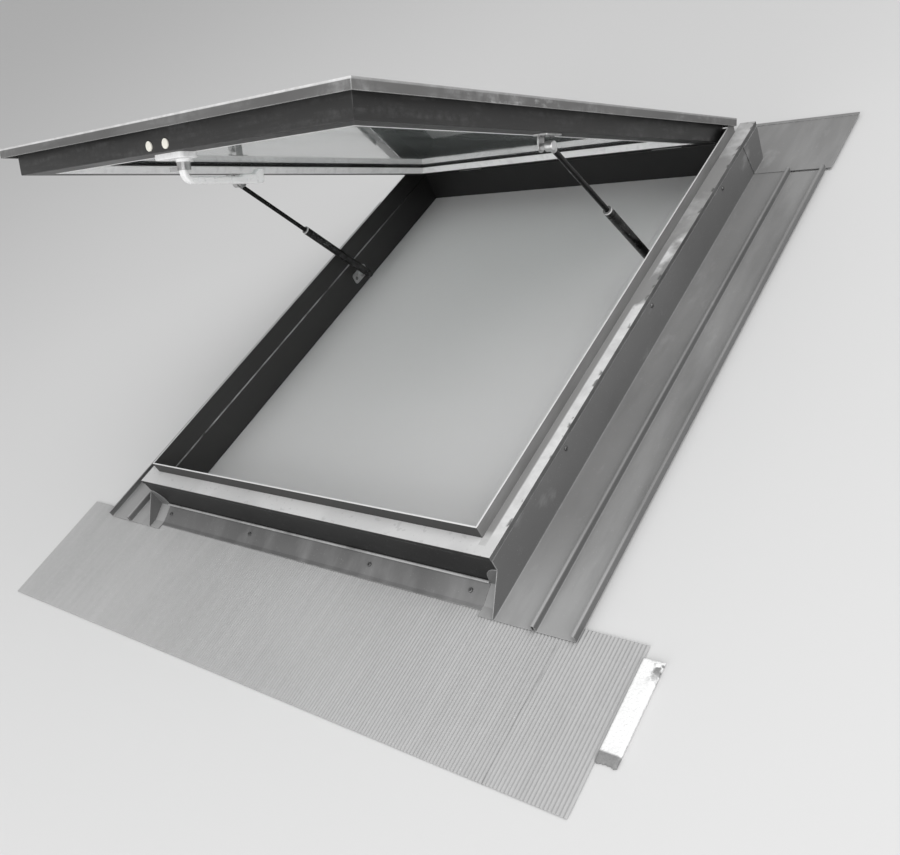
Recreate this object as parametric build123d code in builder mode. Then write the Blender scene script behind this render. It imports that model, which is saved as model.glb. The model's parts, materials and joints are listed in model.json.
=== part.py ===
from build123d import *
from math import atan2, cos, hypot, radians, sin
import os

# Top hung roof skylight: a mitred aluminium curb with its flashings, and a glazed sash
# that is hinged at its upper edge and held open by two gas struts.
# Millimetres. X is to the right seen from below the window, Y is up the roof slope
# towards the hinges, Z is square to the roof. The origin lies on the roof plane,
# in the middle of the curb's fixing holes.

# Curb
curb_width = 780.0
curb_length = 980.0
ledge_height = 77.0
curb_wall = 30.0
upstand_thickness = 2.5
upstand_height = 20.0
rear_upstand_height = 8.0
nose_height = 7.0
leg_recess = 1.5
profile_wall = 2.0
chamber_level = 45.0
bead_drop = 18.0
bead_radius = 1.5
fixing_radius = 3.25
fixing_inset = 140.0

# Sash, as it lies closed
open_angle = 33.6
side_gap = 11.0
front_gap = 6.0
rail_width = 34.0
rail_height = 36.0
rail_corner = 1.0
sash_sink = 13.5
lip_overhang = 17.5
lip_thickness = 2.0
lip_drop = 12.8
lip_corner = 1.2
glass_cover = 14.0
bead_width = 12.0
bead_slope = 5.0
bead_land = 2.0
pane_thickness = 4.0
pane_gap = 12.0
spacer_width = 10.0
spacer_inset = 4.0
glass_play = 2.0
gasket_thickness = 3.5
gasket_proud = 1.0
tape_thickness = 1.5
tape_width = 9.0
seal_width = 4.0
seal_clearance = 0.4
seal_rear_gap = 20.0

# Corner cleats, inside the hollow rails
cleat_arm = 55.0
cleat_thickness = 4.0
cleat_clearance = 0.2

# Hinges
hinge_corner_gap = 119.0
hinge_width = 60.0
hinge_inset = 0.5
knuckle_radius = 4.0
knuckle_clearance = 0.5
hinge_drop = 6.5
leaf_thickness = 2.0
leaf_depth = 32.0
sash_leaf_depth = 25.0
pin_radius = 2.0
pin_clearance = 0.05
pin_head_radius = 3.5
pin_head = 1.2
middle_knuckle = 22.8
knuckle_gap = 0.6
leaf_screw_spread = 22.0
leaf_screw_drop = 22.0
sash_leaf_screw_drop = 16.0

# Gas struts, one beside each side wall
strut_wall_gap = 27.0
lower_pivot_reach = 306.0
lower_pivot_z = 25.5
upper_pivot_reach = 531.5
upper_pivot_drop = 15.0
ball_radius = 5.0
ball_clearance = 0.05
socket_radius = 7.0
socket_back = 6.5
socket_front = 5.5
socket_mouth_radius = 4.3
socket_shank_radius = 4.5
socket_reach = 11.0
stud_neck_radius = 3.0
stud_collar_radius = 5.0
stud_collar_gap = 1.0
open_pivot_clearance = 0.3
tube_radius = 7.5
tube_wall = 1.2
tube_length = 180.0
tube_floor = 3.0
crimp_inset = 13.0
crimp_width = 1.6
crimp_depth = 0.6
guide_length = 10.0
guide_clearance = 0.05
rod_radius = 4.0
piston_length = 8.0
piston_clearance = 0.1
piston_play = 0.5
bracket_length = 44.0
bracket_height = 22.0
bracket_thickness = 2.0
bracket_screw_spread = 30.0
ear_radius = 7.0
ear_inset = 2.0
foot_width = 24.0
foot_length = 36.0
foot_screw_spread = 22.0

# Handle in the middle of the front rail
handle_inset = 40.0
handle_base_length = 60.0
handle_base_width = 28.0
handle_base_shift = 12.0
handle_base_height = 7.0
handle_base_corner = 7.0
handle_edge = 1.5
hub_radius = 11.0
hub_height = 3.0
lever_width = 12.0
lever_front = 7.5
lever_neck = 6.5
lever_edge = 2.8
lever_drop = 27.0
lever_length = 124.0
grip_thickness = 9.5
grip_swell = 3.0
grip_swell_length = 34.0
tip_rise = 10.0
tip_length = 8.0
elbow_radius = 16.0
elbow_inner_radius = 8.0
cam_width = 15.0
cam_depth = 14.0
cam_height = 10.0
cam_corner = 3.5
tongue_drop = 9.5
tongue_thickness = 4.5
tongue_reach = 31.0
tongue_width = 10.0
keeper_width = 34.0
keeper_shelf = 24.0
keeper_height = 16.0
keeper_thickness = 2.0
keeper_clearance = 0.8
cap_spread = 35.0
cap_level = 9.0
cap_radius = 6.0
cap_height = 1.6
cap_offset = 5.0

# Flashings
sheet_thickness = 1.0
sheet_bend = 1.5
apron_side = 213.5
apron_front = 246.0
apron_pitch = 5.2
apron_sheet = 0.7
apron_pleat = 1.6
apron_tuck = 6.0
lap_clearance = 0.3
strip_thickness = 1.2
strip_bend = 2.0
strip_top = 18.0
strip_knee = 14.0
strip_run = 31.0
strip_foot = 7.0
strip_bead_radius = 2.0
strip_screw_left_inset = 13.0
strip_screw_right_inset = 27.0
strip_screw_middles = (-129.0, 147.0)
leg_gap = 2.0
flange_width = 62.0
rib_width = 4.0
rib_height = 11.0
channel_width = 60.0
channel_wall = 13.0
hem_width = 4.0
side_front_reach = 47.0
gusset_height = 50.0
return_width = 26.0
return_gap = 0.5
side_screw_front_inset = 209.0
side_screw_middle = 20.0
side_screw_rear_inset = 170.0
side_screw_drop = 9.0
head_lap = 45.0
head_lap_slant = 20.0
head_channel_gap = 4.0
head_reach = 120.0
head_hem = 8.0
head_side_width = 134.0
foam_width = 28.0
foam_height = 6.0
foam_length = 140.0
foam_front_inset = 66.0

# Screws
screw_head_radius = 3.6
screw_head_height = 2.2
screw_head_rim = 0.6
screw_radius = 1.6
screw_length = 7.0
pilot_radius = 1.7

# Levels and places that follow from the sizes above
inner_width = curb_width - 2 * curb_wall
inner_length = curb_length - 2 * curb_wall
ledge_width = curb_wall - upstand_thickness
upstand_top = ledge_height + upstand_height
frame_bottom = ledge_height - sash_sink
lip_level = frame_bottom + rail_height
lip_top = lip_level + lip_thickness
hinge_y = curb_length / 2 - ledge_width - hinge_inset
hinge_z = lip_level - hinge_drop
frame_rear = hinge_y + knuckle_radius + knuckle_clearance + lip_thickness - lip_overhang
frame_front = -(inner_length / 2 - front_gap)
frame_width = inner_width - 2 * side_gap
frame_length = frame_rear - frame_front
frame_middle = (frame_rear + frame_front) / 2
glass_top = lip_level - tape_thickness
glass_bottom = glass_top - 2 * pane_thickness - pane_gap
bead_top = glass_bottom - gasket_thickness
glass_width = frame_width - 2 * (rail_width + glass_play)
glass_length = frame_length - 2 * (rail_width + glass_play)
hinge_spread = frame_width / 2 - hinge_corner_gap
strut_x = inner_width / 2 - strut_wall_gap
lower_pivot_y = hinge_y - lower_pivot_reach
upper_pivot_y = hinge_y - upper_pivot_reach

os.makedirs("parts", exist_ok=True)

SIDES = ("front", "right", "rear", "left")
INWARD = {
    "front": Vector(0, 1, 0),
    "right": Vector(-1, 0, 0),
    "rear": Vector(0, -1, 0),
    "left": Vector(1, 0, 0),
}


def save(builder, name):
    """Label a finished piece and write it."""
    builder.part.label = name
    export_step(builder.part, f"parts/{name}.step")


def swung(y, z):
    """Where a point of the closed sash stands when the sash is open."""
    dy, dz = y - hinge_y, z - hinge_z
    turn = radians(open_angle)
    return hinge_y + dy * cos(turn) + dz * sin(turn), hinge_z - dy * sin(turn) + dz * cos(turn)


def opened(plane):
    """Swing a plane of the closed sash up about the hinge line."""
    there = Location((0, hinge_y, hinge_z), (-open_angle, 0, 0))
    back = Location((0, -hinge_y, -hinge_z))
    return Plane(there * back * plane.location)


def side_plane(side, width, length, middle=0.0):
    """Plane across one side of a rectangle: x inwards, y up, z along the side."""
    inward = INWARD[side]
    origin = Vector(-inward.X * width / 2, middle - inward.Y * length / 2, 0)
    return Plane(origin, x_dir=inward, z_dir=inward.cross(Vector(0, 0, 1)))


def side_run(side, width, length):
    """Outer length of one side of a rectangle."""
    return width if side in ("front", "rear") else length


def box_outline(x0, y0, x1, y1):
    """Corners of an upright rectangle."""
    return [(x0, y0), (x1, y0), (x1, y1), (x0, y1)]


def mitred_rail(plane, run, outline, chambers=(), rounds=(), beads=()):
    """Run an outline along one side of a frame and cut both ends to 45 degrees."""
    with BuildPart() as rail:
        with BuildSketch(plane) as section:
            with BuildLine():
                Polyline(*outline, close=True)
            make_face()
            for corner, radius in rounds:
                fillet(section.vertices().sort_by_distance(corner)[0], radius)
            for chamber in chambers:
                with BuildLine():
                    Polyline(*chamber, close=True)
                make_face(mode=Mode.SUBTRACT)
            for centre, radius in beads:
                with Locations(centre):
                    Circle(radius)
        extrude(amount=run / 2, both=True)
        for end in (1, -1):
            corner_point = plane.from_local_coords((0, 0, end * run / 2))
            outward = plane.x_dir + plane.z_dir * end
            split(bisect_by=Plane(corner_point, z_dir=outward), keep=Keep.BOTTOM)
    return rail


def frame_ring(level, width, length, band, thickness):
    """A flat band round the sash, at a level of the closed sash."""
    with BuildPart() as ring:
        with BuildSketch(opened(Plane((0, frame_middle, level)))):
            Rectangle(width, length)
            Rectangle(width - 2 * band, length - 2 * band, mode=Mode.SUBTRACT)
        extrude(amount=thickness)
    return ring


def corner_cleats(planes, height):
    """An angle in each corner; a plane's origin is the corner, its x and y the two sides."""
    with BuildPart() as cleats:
        for plane in planes:
            with BuildSketch(plane):
                with BuildLine():
                    Polyline(
                        (0, 0),
                        (cleat_arm, 0),
                        (cleat_arm, cleat_thickness),
                        (cleat_thickness, cleat_thickness),
                        (cleat_thickness, cleat_arm),
                        (0, cleat_arm),
                        close=True,
                    )
                make_face()
            extrude(amount=height)
    return cleats


def corner_planes(width, length, middle, level):
    """A plane in each corner of a rectangle, with z up and x and y along its sides."""
    planes = []
    for x_sign, y_sign in ((1, 1), (-1, 1), (-1, -1), (1, -1)):
        along_x = Vector(x_sign, 0, 0)
        along_y = Vector(0, y_sign, 0)
        first = along_x if x_sign * y_sign > 0 else along_y
        corner = (-x_sign * width / 2, middle - y_sign * length / 2, level)
        planes.append(Plane(corner, x_dir=first, z_dir=(0, 0, 1)))
    return planes


def other_hand(piece):
    """The left hand twin of a right hand piece."""
    with BuildPart() as twin:
        mirror(piece.part, about=Plane.YZ)
    return twin


def bent_sheet(path, thickness, bend):
    """Outline and corner radii of a bent sheet that lies on the left of its path."""
    points = [Vector(*point) for point in path]
    headings = [(end - start).normalized() for start, end in zip(points, points[1:])]
    normals = [Vector(-heading.Y, heading.X) for heading in headings]
    far_side = [points[0] + normals[0] * thickness]
    near_radii = [0]
    far_radii = [0]
    for corner, before, after in zip(points[1:-1], normals, normals[1:]):
        far_side.append(corner + (before + after) * (thickness / (1 + before.dot(after))))
        turns_left = before.cross(after).Z > 0
        near_radii.append(bend + thickness if turns_left else bend)
        far_radii.append(bend if turns_left else bend + thickness)
    far_side.append(points[-1] + normals[-1] * thickness)
    near_radii.append(0)
    far_radii.append(0)
    return points + far_side[::-1], near_radii + far_radii[::-1]


def sheet_run(plane, path, thickness, bend, run):
    """A straight length of bent sheet with its section drawn in a plane."""
    outline, radii = bent_sheet(path, thickness, bend)
    with BuildPart() as sheet:
        with BuildSketch(plane):
            with BuildLine():
                FilletPolyline(*outline, radius=radii, close=True)
            make_face()
        extrude(amount=run)
    return sheet


# Places of the screws, each a plane on the surface under the head
foot_level = apron_sheet + apron_pleat
strip_rise = strip_knee - foot_level
strip_slope = atan2(strip_rise, strip_run)
front_face_y = -(curb_length / 2 - leg_recess)
side_face_x = curb_width / 2 - leg_recess
rear_face_y = curb_length / 2 - leg_recess
slope_middle_y = front_face_y - strip_run / 2
slope_middle_z = strip_knee - strip_rise / 2
slope_normal = Vector(0, -sin(strip_slope), cos(strip_slope))

strip_half = side_face_x + sheet_thickness - return_width - return_gap
strip_screw_xs = (
    strip_screw_left_inset - strip_half,
    *strip_screw_middles,
    strip_half - strip_screw_right_inset,
)
strip_screws = [
    Plane(Vector(x, slope_middle_y, slope_middle_z) + slope_normal * strip_thickness, z_dir=slope_normal)
    for x in strip_screw_xs
]
side_screw_ys = (
    side_screw_front_inset - curb_length / 2,
    side_screw_middle,
    curb_length / 2 - side_screw_rear_inset,
)
side_screw_z = ledge_height - nose_height - leg_gap - side_screw_drop
side_screws = [
    Plane((sign * (side_face_x + sheet_thickness), y, side_screw_z), z_dir=(sign, 0, 0))
    for sign in (1, -1)
    for y in side_screw_ys
]
head_screws = [
    Plane((x, rear_face_y + sheet_thickness, side_screw_z), z_dir=(0, 1, 0))
    for x in (-hinge_spread, 0, hinge_spread)
]

leaf_face_y = inner_length / 2 - leaf_thickness
hinge_screws = [
    Plane((sign * hinge_spread + dx, leaf_face_y, hinge_z - leaf_screw_drop), z_dir=(0, -1, 0))
    for sign in (1, -1)
    for dx in (-leaf_screw_spread, 0, leaf_screw_spread)
]
bracket_screws = [
    Plane(
        (sign * (inner_width / 2 - bracket_thickness), lower_pivot_y + dy, lower_pivot_z),
        z_dir=(-sign, 0, 0),
    )
    for sign in (1, -1)
    for dy in (-bracket_screw_spread / 2, bracket_screw_spread / 2)
]
tongue_level = handle_base_height + hub_height + tongue_drop
keeper_shelf_z = frame_bottom - tongue_level + tongue_thickness + keeper_clearance
keeper_screw_z = keeper_shelf_z - keeper_height / 2
keeper_screws = [
    Plane((x, -inner_length / 2 + keeper_thickness, keeper_screw_z), z_dir=(0, 1, 0))
    for x in (-keeper_width / 4, keeper_width / 4)
]
sash_leaf_screws = [
    opened(
        Plane(
            (sign * hinge_spread + dx, frame_rear + leaf_thickness, lip_level - sash_leaf_screw_drop),
            z_dir=(0, 1, 0),
        )
    )
    for sign in (1, -1)
    for dx in (-leaf_screw_spread, 0, leaf_screw_spread)
]
ear_face_x = frame_width / 2 - rail_width + ear_inset
foot_screw_x = ear_face_x + foot_width / 2
foot_screws = [
    opened(
        Plane(
            (sign * foot_screw_x, upper_pivot_y + dy, frame_bottom - bracket_thickness),
            z_dir=(0, 0, -1),
        )
    )
    for sign in (1, -1)
    for dy in (-foot_screw_spread / 2, foot_screw_spread / 2)
]


# Curb: four mitred hollow rails
def curb_outline(upstand):
    """Section of a curb rail, from its outer face inwards."""
    top = ledge_height + upstand
    return [
        (leg_recess, 0),
        (curb_wall, 0),
        (curb_wall, top),
        (ledge_width, top),
        (ledge_width, ledge_height),
        (0, ledge_height),
        (0, ledge_height - nose_height),
        (leg_recess, ledge_height - nose_height),
    ]


chamber_left = leg_recess + profile_wall
chamber_right = curb_wall - profile_wall
curb_chambers = [
    box_outline(chamber_left, profile_wall, chamber_right, chamber_level),
    box_outline(chamber_left, chamber_level + profile_wall, chamber_right, ledge_height - profile_wall),
]
curb_bead = [((curb_wall, ledge_height - bead_drop), bead_radius)]
curb_pilots = {
    "front": keeper_screws,
    "right": bracket_screws[:2] + side_screws[: len(side_screw_ys)],
    "left": bracket_screws[2:] + side_screws[len(side_screw_ys):],
    "rear": hinge_screws + head_screws,
}

fixing_y = curb_length / 2 - fixing_inset
for side in SIDES:
    upstand = rear_upstand_height if side == "rear" else upstand_height
    rail = mitred_rail(
        side_plane(side, curb_width, curb_length),
        side_run(side, curb_width, curb_length),
        curb_outline(upstand),
        chambers=curb_chambers,
        rounds=[((0, ledge_height), rail_corner)],
        beads=curb_bead,
    )
    with BuildPart() as curb_rail:
        add(rail.part)
        with Locations(*curb_pilots[side]):
            Cylinder(pilot_radius, 2 * screw_length, mode=Mode.SUBTRACT)
        if side in ("left", "right"):
            x_sign = 1 if side == "right" else -1
            wall_middle = x_sign * (curb_width - curb_wall) / 2
            with Locations((wall_middle, fixing_y), (wall_middle, -fixing_y)):
                Cylinder(fixing_radius, 2 * profile_wall, mode=Mode.SUBTRACT)
    save(curb_rail, f"curb_{side}")

curb_cleat_inset = chamber_left + cleat_clearance
curb_corner_cleats = corner_cleats(
    corner_planes(
        curb_width - 2 * curb_cleat_inset,
        curb_length - 2 * curb_cleat_inset,
        0,
        profile_wall + cleat_clearance,
    ),
    chamber_level - profile_wall - 2 * cleat_clearance,
)
save(curb_corner_cleats, "curb_corner_cleats")


# Sash: dark hollow rails, the lipped cover frame, and the light beads that hold the glass
rail_outline = box_outline(0, frame_bottom, rail_width, lip_level)
rail_chamber = [
    box_outline(
        profile_wall, frame_bottom + profile_wall, rail_width - profile_wall, lip_level - profile_wall
    )
]
sash_pilots = {
    "front": [],
    "right": foot_screws[:2],
    "left": foot_screws[2:],
    "rear": sash_leaf_screws,
}
lip_width = frame_width + 2 * lip_overhang
lip_length = frame_length + 2 * lip_overhang
lip_inner = lip_overhang + rail_width + glass_cover
lip_outline = [
    (0, lip_top),
    (0, lip_top - lip_drop),
    (lip_thickness, lip_top - lip_drop),
    (lip_thickness, lip_level),
    (lip_inner, lip_level),
    (lip_inner, lip_top),
]
bead_outline = [
    (rail_width, frame_bottom),
    (rail_width + bead_width - bead_slope, frame_bottom),
    (rail_width + bead_width, bead_top - bead_land),
    (rail_width + bead_width, bead_top),
    (rail_width, bead_top),
]

for side in SIDES:
    frame_side = opened(side_plane(side, frame_width, frame_length, frame_middle))
    frame_run = side_run(side, frame_width, frame_length)
    rail = mitred_rail(
        frame_side,
        frame_run,
        rail_outline,
        chambers=rail_chamber,
        rounds=[((0, frame_bottom), rail_corner)],
    )
    with BuildPart() as sash_rail:
        add(rail.part)
        if sash_pilots[side]:
            with Locations(*sash_pilots[side]):
                Cylinder(pilot_radius, 2 * screw_length, mode=Mode.SUBTRACT)
    save(sash_rail, f"sash_rail_{side}")

    cover = mitred_rail(
        opened(side_plane(side, lip_width, lip_length, frame_middle)),
        side_run(side, lip_width, lip_length),
        lip_outline,
        rounds=[((0, lip_top), lip_corner)],
    )
    save(cover, f"cover_frame_{side}")

    bead = mitred_rail(frame_side, frame_run, bead_outline)
    save(bead, f"glazing_bead_{side}")

sash_cleat_inset = profile_wall + cleat_clearance
sash_corner_cleats = corner_cleats(
    [
        opened(plane)
        for plane in corner_planes(
            frame_width - 2 * sash_cleat_inset,
            frame_length - 2 * sash_cleat_inset,
            frame_middle,
            frame_bottom + sash_cleat_inset,
        )
    ],
    rail_height - 2 * sash_cleat_inset,
)
save(sash_corner_cleats, "sash_corner_cleats")


# Glazing: two panes on a spacer, between a gasket and a tape
with BuildPart() as inner_pane:
    with BuildSketch(opened(Plane((0, frame_middle, glass_bottom)))):
        Rectangle(glass_width, glass_length)
    extrude(amount=pane_thickness)
save(inner_pane, "glass_inner_pane")

with BuildPart() as outer_pane:
    with BuildSketch(opened(Plane((0, frame_middle, glass_top - pane_thickness)))):
        Rectangle(glass_width, glass_length)
    extrude(amount=pane_thickness)
save(outer_pane, "glass_outer_pane")

glass_spacer = frame_ring(
    glass_bottom + pane_thickness,
    glass_width - 2 * spacer_inset,
    glass_length - 2 * spacer_inset,
    spacer_width,
    pane_gap,
)
save(glass_spacer, "glass_spacer")

glazing_gasket = frame_ring(
    bead_top,
    glass_width,
    glass_length,
    bead_width - glass_play + gasket_proud,
    gasket_thickness,
)
save(glazing_gasket, "glazing_gasket")

glazing_tape = frame_ring(glass_top, glass_width, glass_length, tape_width, tape_thickness)
save(glazing_tape, "glazing_tape")

seal_outer = (seal_width - upstand_thickness) / 2 + upstand_thickness
seal_bottom = upstand_top + seal_clearance
seal_x = inner_width / 2 + seal_outer
seal_front = -inner_length / 2 - seal_outer
seal_rear = frame_rear - seal_rear_gap
with BuildPart() as weather_seal:
    with BuildSketch(opened(Plane((0, 0, seal_bottom)))):
        with Locations((0, (seal_front + seal_rear) / 2)):
            Rectangle(2 * seal_x, seal_rear - seal_front)
        with Locations((0, (seal_front + seal_rear + seal_width) / 2)):
            Rectangle(2 * (seal_x - seal_width), seal_rear - seal_front - seal_width, mode=Mode.SUBTRACT)
    extrude(amount=lip_level - seal_bottom)
save(weather_seal, "weather_seal")


# Hinges: a leaf down the inside of the low rear upstand, a cranked leaf on the sash
half_hinge = hinge_width / 2
half_middle = middle_knuckle / 2
with BuildPart() as curb_leaf:
    with BuildSketch(Plane.YZ.offset(hinge_spread - half_hinge)):
        with Locations((leaf_face_y + leaf_thickness / 2, hinge_z - leaf_depth / 2)):
            Rectangle(leaf_thickness, leaf_depth)
        with Locations((hinge_y - (hinge_y - leaf_face_y) / 2, hinge_z)):
            Rectangle(hinge_y - leaf_face_y, leaf_thickness)
        with Locations((hinge_y, hinge_z)):
            Circle(knuckle_radius)
    extrude(amount=hinge_width)
    with BuildSketch(Plane.YZ.offset(hinge_spread - half_middle - knuckle_gap)):
        with Locations((hinge_y, hinge_z)):
            Rectangle(4 * knuckle_radius, 2 * (knuckle_radius + knuckle_gap))
    extrude(amount=middle_knuckle + 2 * knuckle_gap, mode=Mode.SUBTRACT)
    with BuildSketch(Plane.YZ.offset(hinge_spread - half_hinge)):
        with Locations((hinge_y, hinge_z)):
            Circle(pin_radius + pin_clearance)
    extrude(amount=hinge_width, mode=Mode.SUBTRACT)
    with Locations(*hinge_screws[:3]):
        Cylinder(pilot_radius, 2 * screw_length, mode=Mode.SUBTRACT)

with BuildPart() as sash_leaf:
    with BuildSketch(opened(Plane.YZ.offset(hinge_spread - half_middle))):
        with Locations((hinge_y, hinge_z)):
            Circle(knuckle_radius)
        with Locations(((hinge_y + frame_rear) / 2, hinge_z + knuckle_radius - leaf_thickness / 2)):
            Rectangle(hinge_y - frame_rear, leaf_thickness)
    extrude(amount=middle_knuckle)
    with BuildSketch(opened(Plane.YZ.offset(hinge_spread - half_hinge))):
        with Locations(
            (frame_rear + leaf_thickness / 2, hinge_z + knuckle_radius - sash_leaf_depth / 2)
        ):
            Rectangle(leaf_thickness, sash_leaf_depth)
    extrude(amount=hinge_width)
    with BuildSketch(opened(Plane.YZ.offset(hinge_spread - half_hinge))):
        with Locations((hinge_y, hinge_z)):
            Circle(pin_radius + pin_clearance)
    extrude(amount=hinge_width, mode=Mode.SUBTRACT)
    with Locations(*sash_leaf_screws[:3]):
        Cylinder(pilot_radius, 2 * screw_length, mode=Mode.SUBTRACT)

with BuildPart() as hinge_pin:
    with BuildSketch(Plane.YZ.offset(hinge_spread - half_hinge)):
        with Locations((hinge_y, hinge_z)):
            Circle(pin_radius)
    extrude(amount=hinge_width)
    for head_start in (-half_hinge - pin_head, half_hinge):
        with BuildSketch(Plane.YZ.offset(hinge_spread + head_start)):
            with Locations((hinge_y, hinge_z)):
                Circle(pin_head_radius)
        extrude(amount=pin_head)

for piece, name in ((curb_leaf, "hinge_curb_leaf"), (sash_leaf, "hinge_sash_leaf"), (hinge_pin, "hinge_pin")):
    save(piece, f"{name}_right")
    save(other_hand(piece), f"{name}_left")


# Gas struts: tube on the curb, rod on the sash, drawn at their full length
upper_y, upper_z = swung(upper_pivot_y, frame_bottom - upper_pivot_drop)
lower_pivot = Vector(strut_x, lower_pivot_y, lower_pivot_z)
upper_pivot = Vector(strut_x, upper_y, upper_z)
strut_length = hypot(upper_y - lower_pivot_y, upper_z - lower_pivot_z)
strut_direction = (upper_pivot - lower_pivot).normalized()
strut_plane = Plane(lower_pivot, x_dir=(1, 0, 0), z_dir=strut_direction)
tube_bore = tube_radius - tube_wall

with BuildPart() as strut_tube:
    with BuildSketch(strut_plane.offset(socket_reach)):
        Circle(tube_radius)
    extrude(amount=tube_length)
    fillet(strut_tube.edges().filter_by(GeomType.CIRCLE), tube_wall)
    with BuildSketch(strut_plane.offset(socket_reach + tube_length - crimp_inset)):
        Circle(tube_radius)
        Circle(tube_radius - crimp_depth, mode=Mode.SUBTRACT)
    extrude(amount=crimp_width, mode=Mode.SUBTRACT)
    with BuildSketch(strut_plane.offset(socket_reach + tube_floor)):
        Circle(tube_bore)
    extrude(amount=tube_length - tube_floor - guide_length, mode=Mode.SUBTRACT)
    with BuildSketch(strut_plane.offset(socket_reach + tube_length - guide_length)):
        Circle(rod_radius + guide_clearance)
    extrude(amount=guide_length, mode=Mode.SUBTRACT)

piston_start = socket_reach + tube_length - guide_length - piston_play - piston_length
with BuildPart() as strut_rod:
    with BuildSketch(strut_plane.offset(piston_start)):
        Circle(tube_bore - piston_clearance)
    extrude(amount=piston_length)
    with BuildSketch(strut_plane.offset(piston_start + piston_length)):
        Circle(rod_radius)
    extrude(amount=strut_length - socket_reach - piston_start - piston_length)


def ball_and_neck(centre, ball, neck, reach):
    """A ball with a neck of a given reach towards +X, revolved about its own X line."""
    neck_start = (ball**2 - neck**2) ** 0.5
    with BuildPart() as stud:
        with BuildSketch(Plane(centre, x_dir=(1, 0, 0), z_dir=(0, -1, 0))):
            with BuildLine():
                ThreePointArc((-ball, 0), (0, ball), (neck_start, neck))
                Polyline((neck_start, neck), (reach, neck), (reach, 0), (-ball, 0))
            make_face()
        revolve(axis=Axis(centre, (1, 0, 0)))
    return stud


def ball_socket(pivot, direction):
    """A cup for a ball, open towards +X, on a shank along the strut."""
    cavity = ball_and_neck(pivot, ball_radius + ball_clearance, socket_mouth_radius, 2 * socket_front)
    with BuildPart() as socket:
        with BuildSketch(Plane(pivot, x_dir=(1, 0, 0), z_dir=direction)):
            Circle(socket_shank_radius)
        extrude(amount=socket_reach)
        with BuildSketch(Plane(pivot - Vector(socket_back, 0, 0), x_dir=(0, 1, 0), z_dir=(1, 0, 0))):
            Circle(socket_radius)
        extrude(amount=socket_back + socket_front)
        fillet(socket.edges().filter_by(GeomType.CIRCLE).sort_by(Axis.X)[0], bead_radius)
        add(cavity.part, mode=Mode.SUBTRACT)
    return socket


lower_socket = ball_socket(lower_pivot, strut_direction)
with BuildPart() as upper_socket:
    mirror(ball_socket(upper_pivot, -strut_direction).part, about=Plane.YZ.offset(strut_x))

wall_x = inner_width / 2
collar_start = strut_x + socket_front + stud_collar_gap
lower_ball = ball_and_neck(lower_pivot, ball_radius, stud_neck_radius, collar_start - strut_x)
with BuildPart() as lower_bracket:
    with BuildSketch(Plane(Vector(wall_x, lower_pivot_y, lower_pivot_z), x_dir=(0, 1, 0), z_dir=(-1, 0, 0))):
        RectangleRounded(bracket_length, bracket_height, bracket_height / 4)
    extrude(amount=bracket_thickness)
    with Locations(*bracket_screws[:2]):
        Cylinder(pilot_radius, 2 * screw_length, mode=Mode.SUBTRACT)
    with BuildSketch(Plane(Vector(collar_start, lower_pivot_y, lower_pivot_z), z_dir=(1, 0, 0))):
        RegularPolygon(stud_collar_radius, 6)
    extrude(amount=wall_x - collar_start)
    add(lower_ball.part)

ear_plane = opened(Plane.YZ.offset(ear_face_x))
upper_collar_end = strut_x - socket_front - open_pivot_clearance
ear_inner_x = ear_face_x + bracket_thickness
with BuildPart() as upper_bracket:
    with BuildSketch(ear_plane):
        with Locations((upper_pivot_y, frame_bottom - upper_pivot_drop)):
            Circle(ear_radius)
        with Locations((upper_pivot_y, frame_bottom - upper_pivot_drop / 2)):
            Rectangle(2 * ear_radius, upper_pivot_drop)
    extrude(amount=bracket_thickness)
    with BuildSketch(opened(Plane((foot_screw_x, upper_pivot_y, frame_bottom), z_dir=(0, 0, -1)))):
        RectangleRounded(foot_width, foot_length, bracket_thickness)
    extrude(amount=bracket_thickness)
    with Locations(*foot_screws[:2]):
        Cylinder(pilot_radius, 2 * screw_length, mode=Mode.SUBTRACT)
    with BuildSketch(opened(Plane.YZ.offset(ear_inner_x))):
        with Locations((upper_pivot_y, frame_bottom - upper_pivot_drop)):
            RegularPolygon(stud_collar_radius, 6)
    extrude(amount=upper_collar_end - ear_inner_x)

for piece, name in (
    (strut_tube, "strut_tube"),
    (strut_rod, "strut_rod"),
    (lower_socket, "strut_lower_socket"),
    (upper_socket, "strut_upper_socket"),
    (lower_bracket, "strut_lower_bracket"),
    (upper_bracket, "strut_upper_bracket"),
):
    save(piece, f"{name}_right")
    save(other_hand(piece), f"{name}_left")


# Handle, drawn unlocked: the grip points to the hinges, the locking tongue to the left
handle_y = frame_front + handle_inset
handle_plane = opened(Plane((0, handle_y, frame_bottom), x_dir=(1, 0, 0), z_dir=(0, 0, -1)))
handle_down = Axis(handle_plane.origin, handle_plane.z_dir)

with BuildPart() as handle_base:
    with BuildSketch(handle_plane):
        with Locations((0, handle_base_shift)):
            RectangleRounded(handle_base_length, handle_base_width, handle_base_corner)
    extrude(amount=handle_base_height)
    fillet(handle_base.faces().sort_by(handle_down)[-1].edges(), handle_edge)
    with BuildSketch(handle_plane.offset(handle_edge)):
        Circle(hub_radius)
    extrude(amount=handle_base_height + hub_height - handle_edge)
save(handle_base, "handle_base")

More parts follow.
